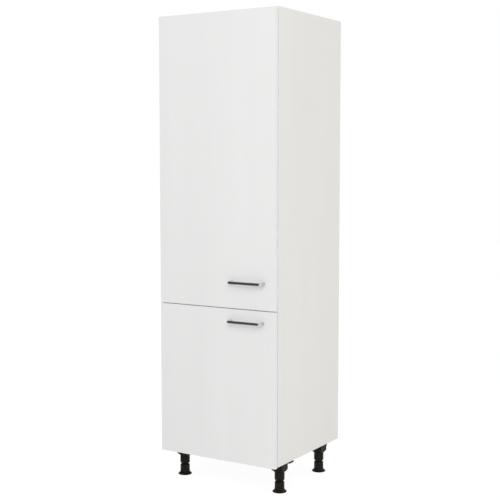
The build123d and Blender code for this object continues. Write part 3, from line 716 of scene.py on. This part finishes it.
class HOUSING_OT_handles(bpy.types.Operator):
    """Make both bent bar handles and finish their screws"""

    bl_idname = "housing.handles"
    bl_label = "Handles"

    def execute(self, context):
        scene_settings = context.scene.fridge_housing
        settings = scene_settings.handles
        material, tree, shader, spot = start_material("Chrome")
        chrome = (*settings.color, 1)
        tinted = use(tree, "Soft streaks", Vector=spot, Stretch=(30, 30, 30), Color=chrome, Depth=0.01)
        drawn(tree, shader, "Base Color", tinted["Color"])
        shader.inputs["Metallic"].default_value = 1.0
        shine = use(tree, "Patchy shine", Vector=spot, Scale=120.0, Smoothest=0.05, Roughest=0.11)
        drawn(tree, shader, "Roughness", shine["Roughness"])
        zinc = metal_material(
            "Handle screws", scene_settings.fittings.zinc_color, 0.25, 0.38, 200.0, ((0, 1, 0), 0.0007)
        )
        for door in DOORS:
            bar = self.bar(f"{door}_bar_handle", f"{door}_handle", f"{door}_door", settings, material)
            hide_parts(f"{door}_handle")
            dress(f"{door}_handle_screws", zinc)
        return {"FINISHED"}

    def bar(self, name, node, body, settings, material):
        """One bar with both ends bent to the door and a screw hole up each end.

        Its middle line runs out from the door, round a quarter circle, across, and back the same way. At each
        end the rings shrink to the hole's radius and run back inside the bar to the hole's end.
        """
        low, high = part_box(node)
        radius = (high.z - low.z) / 2
        left, right = low.x + radius, high.x - radius
        front, face, level = low.y + radius, high.y, (low.z + high.z) / 2
        bend, bend_rings, bar_steps = settings.bend_radius, 14, 40
        sweep = np.linspace(0, math.pi / 2, bend_rings)
        hole, hole_end = settings.hole_radius, face - settings.hole_depth
        # One half, from the hole's end on the left to the middle of the bar: x, y and radius of each ring
        inside = [(left, hole_end, 0.0), (left, hole_end, hole), (left, face, hole), (left, face, radius)]
        straight = [(left, y, radius) for y in np.linspace(face, front + bend, 5)[1:-1]]
        corner_x = left + bend - bend * np.cos(sweep)
        corner_y = front + bend - bend * np.sin(sweep)
        corner = np.stack([corner_x, corner_y, np.full(bend_rings, radius)], 1)
        across = [(x, front, radius) for x in np.linspace(left + bend, (left + right) / 2, 8)[1:]]
        half = np.array(inside + straight + corner.tolist() + across)
        # The normal's angle is 0 up the leg, turns with the bend, and is a quarter turn along the bar
        up_leg, along_bar = np.zeros(len(inside) + len(straight)), np.full(len(across), math.pi / 2)
        angle = np.concatenate([up_leg, sweep, along_bar])
        inward = np.stack([np.cos(angle), np.sin(angle), np.zeros_like(angle)], 1)
        mirrored = half[-2::-1] * [-1, 1, 1] + [left + right, 0, 0]
        profile = np.concatenate([half, mirrored])
        inward = np.concatenate([inward, inward[-2::-1] * [-1, 1, 1]])
        centre = np.stack([profile[:, 0], profile[:, 1], np.full(len(profile), level)], 1)
        points = bent_bar(centre, inward, np.maximum(profile[:, 2], POLE), bar_steps)
        return grid_mesh(name, points, material, body)


class HOUSING_OT_feet(bpy.types.Operator):
    """Finish the feet, their sockets and their screws"""

    bl_idname = "housing.feet"
    bl_label = "Feet"

    def execute(self, context):
        settings = context.scene.fridge_housing.fittings
        black = settings.foot_color
        moulded = plastic_material("Moulded black", black, 0.4, 0.55, 900.0, 0.00003, shine_level=0.15)
        for corner in CORNERS:
            foot = self.turned_foot(f"turned_foot_{corner}", f"foot_{corner}", settings, moulded)
            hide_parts(f"foot_{corner}")
            dress(f"foot_socket_{corner}", moulded)
        screws = metal_material("Foot screws", settings.zinc_color, 0.28, 0.4, 200.0, ((0, 0, 1), 0.0012))
        dress("foot_screws", screws)
        return {"FINISHED"}

    def turned_foot(self, name, node, settings, material):
        """One foot: a flared base with a hollow sole, a barrel with upright grips and a threaded stem.

        Its sections are circles around its axis. The flare runs from the rim to the barrel as a quarter of an
        ellipse. On the barrel the radius is r - g * w(z) * (1 + cos(n * t)) / 2 for n grips of depth g, where
        w rises from 0 to 1 at both ends of the barrel. On the stem it is
        r - d * (1 - cos(2 * pi * z / p - t)) / 2 for a thread of depth d and pitch p.
        """
        low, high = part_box(node)
        middle = np.array([(low.x + high.x) / 2, (low.y + high.y) / 2, low.z])
        steps_per_grip, rings_per_pitch = 8, 7
        steps = settings.foot_grips * steps_per_grip
        turn = np.linspace(0, 2 * math.pi, steps, endpoint=False)
        base, barrel, stem = (high.x - low.x) / 2, settings.barrel_radius, settings.stem_radius
        barrel_low, barrel_high = settings.barrel_low, settings.barrel_high
        shoulder, top = settings.shoulder, high.z - low.z
        outline = [(0.0, FOOT_RIM[0][1])] + [(base - way_in, z) for way_in, z in FOOT_RIM]
        sweep = np.linspace(0, math.pi / 2, 9)[1:]
        flare_in, flare_low = FLARE_START
        flare_radius = base - flare_in - (base - barrel - flare_in) * np.sin(sweep)
        flare_level = flare_low + (barrel_low - flare_low) * (1 - np.cos(sweep))
        outline += zip(flare_radius, flare_level)
        grip_rings, grip_inset = 11, 0.001
        grips = np.linspace(barrel_low + grip_inset, barrel_high - grip_inset, grip_rings)
        outline += [(barrel, z) for z in grips]
        bevel, slant = 0.0004, 0.003
        outline += [(barrel, barrel_high), (barrel - bevel, barrel_high + 0.0006)]
        outline += [(barrel - slant + bevel, shoulder - bevel), (barrel - slant, shoulder), (stem, shoulder)]
        thread_low, thread_high, stem_bevel = shoulder + 0.0003, top - 0.002, 0.0015
        thread = np.arange(thread_low, thread_high, settings.thread_pitch / rings_per_pitch)
        outline += [(stem, z) for z in thread]
        outline += [(stem - stem_bevel, top), (0.0, top)]
        radius, level = np.array(outline).T
        run_out = 0.15 * (barrel_high - barrel_low)
        from_end = np.minimum(level - barrel_low, barrel_high - level)
        weight = np.clip(from_end / run_out, 0, 1)
        grooves = settings.grip_depth * weight[:, None] * (1 + np.cos(settings.foot_grips * turn)) / 2
        on_stem = (level > thread[0]) & (level <= thread[-1])
        phase = 2 * math.pi * level[:, None] / settings.thread_pitch - turn
        grooves += settings.thread_depth * on_stem[:, None] * (1 - np.cos(phase)) / 2
        reach = np.maximum(radius[:, None] - grooves, POLE)
        ring = np.stack([np.cos(turn), np.sin(turn)], 1)
        points = np.zeros((len(level), steps, 3))
        points[:, :, :2] = reach[:, :, None] * ring
        points[:, :, 2] = level[:, None]
        return grid_mesh(name, points + middle, material, node)


class HOUSING_OT_hinges(bpy.types.Operator):
    """Finish the concealed hinges and their screws"""

    bl_idname = "housing.hinges"
    bl_label = "Hinges"

    def execute(self, context):
        settings = context.scene.fridge_housing.fittings
        plate = settings.nickel_color
        nickel = metal_material("Nickel plate", plate, 0.2, 0.32, 90.0)
        bright = metal_material("Bright pins", plate, 0.12, 0.2, 90.0)
        crosswise = metal_material("Hinge screws", plate, 0.22, 0.34, 150.0, ((1, 0, 0), 0.001))
        inward = metal_material("Cup screws", plate, 0.22, 0.34, 150.0, ((0, 1, 0), 0.0012))
        for name in ("hinge_arms", "hinge_mounting_plates"):
            dress(name, nickel)
        for name in ("hinge_plate_screws", "hinge_arm_screws"):
            dress(name, crosswise)
        dress("hinge_arm_pins", bright)
        for door in DOORS:
            for name in ("hinge_cups", "outer_links", "inner_links"):
                dress(f"{door}_{name}", nickel)
            dress(f"{door}_hinge_cup_screws", inward)
            dress(f"{door}_hinge_cup_pins", bright)
        return {"FINISHED"}


class HOUSING_OT_fittings(bpy.types.Operator):
    """Finish the joint fittings, the shelf pins and the wall brackets"""

    bl_idname = "housing.fittings"
    bl_label = "Joint Fittings"

    def execute(self, context):
        settings = context.scene.fridge_housing.fittings
        zinc = settings.zinc_color
        dress("cam_locks", metal_material("Cast zinc", (0.5, 0.5, 0.5), 0.4, 0.55, 300.0))
        dress("cam_bolts", metal_material("Zinc bolts", zinc, 0.25, 0.38, 200.0, ((1, 0, 0), 0.0014)))
        dress("wall_brackets", metal_material("Zinc sheet", zinc, 0.22, 0.42, 60.0))
        screws = metal_material("Bracket screws", zinc, 0.25, 0.38, 200.0, ((1, 0, 0), 0.0012))
        dress("wall_bracket_screws", screws)
        dress("shelf_pins", metal_material("Pin plate", settings.nickel_color, 0.15, 0.28, 120.0))
        dress("dowels", self.beech())
        return {"FINISHED"}

    def beech(self):
        """Beech with its grain along the dowel."""
        material, tree, shader, spot = start_material("Beech")
        tan = (0.62, 0.44, 0.27, 1)
        wood = use(tree, "Soft streaks", Vector=spot, Stretch=(60, 900, 900), Color=tan, Depth=0.2)
        drawn(tree, shader, "Base Color", wood["Color"])
        shine = use(tree, "Patchy shine", Vector=spot, Scale=300.0, Smoothest=0.55, Roughest=0.7)
        drawn(tree, shader, "Roughness", shine["Roughness"])
        bump(tree, shader, use(tree, "Fine grain", Vector=spot, Scale=700.0)["Height"], 0.00005)
        return material


class HOUSING_PT_panel(bpy.types.Panel):
    """Lists the steps that dress the cabinet"""

    bl_label = "Fridge Housing"
    bl_space_type = "VIEW_3D"
    bl_region_type = "UI"
    bl_category = "Housing"

    def draw(self, context):
        for step in STEPS:
            self.layout.operator(step.bl_idname)


STEPS = (
    HOUSING_OT_effects,
    HOUSING_OT_stage,
    HOUSING_OT_boards,
    HOUSING_OT_doors,
    HOUSING_OT_handles,
    HOUSING_OT_feet,
    HOUSING_OT_hinges,
    HOUSING_OT_fittings,
)
GROUPS = (StudioSettings, BoardSettings, HandleSettings, FittingSettings, HousingSettings)


def register():
    for made in (*GROUPS, *STEPS, HOUSING_PT_panel):
        bpy.utils.register_class(made)
    bpy.types.Scene.fridge_housing = PointerProperty(type=HousingSettings)


def unregister():
    del bpy.types.Scene.fridge_housing
    for made in reversed((*GROUPS, *STEPS, HOUSING_PT_panel)):
        bpy.utils.unregister_class(made)


def main():
    register()
    bpy.ops.housing.effects()
    bpy.ops.housing.stage()
    bpy.ops.housing.boards()
    bpy.ops.housing.doors()
    bpy.ops.housing.handles()
    bpy.ops.housing.feet()
    bpy.ops.housing.hinges()
    bpy.ops.housing.fittings()


if __name__ == "__main__":
    main()
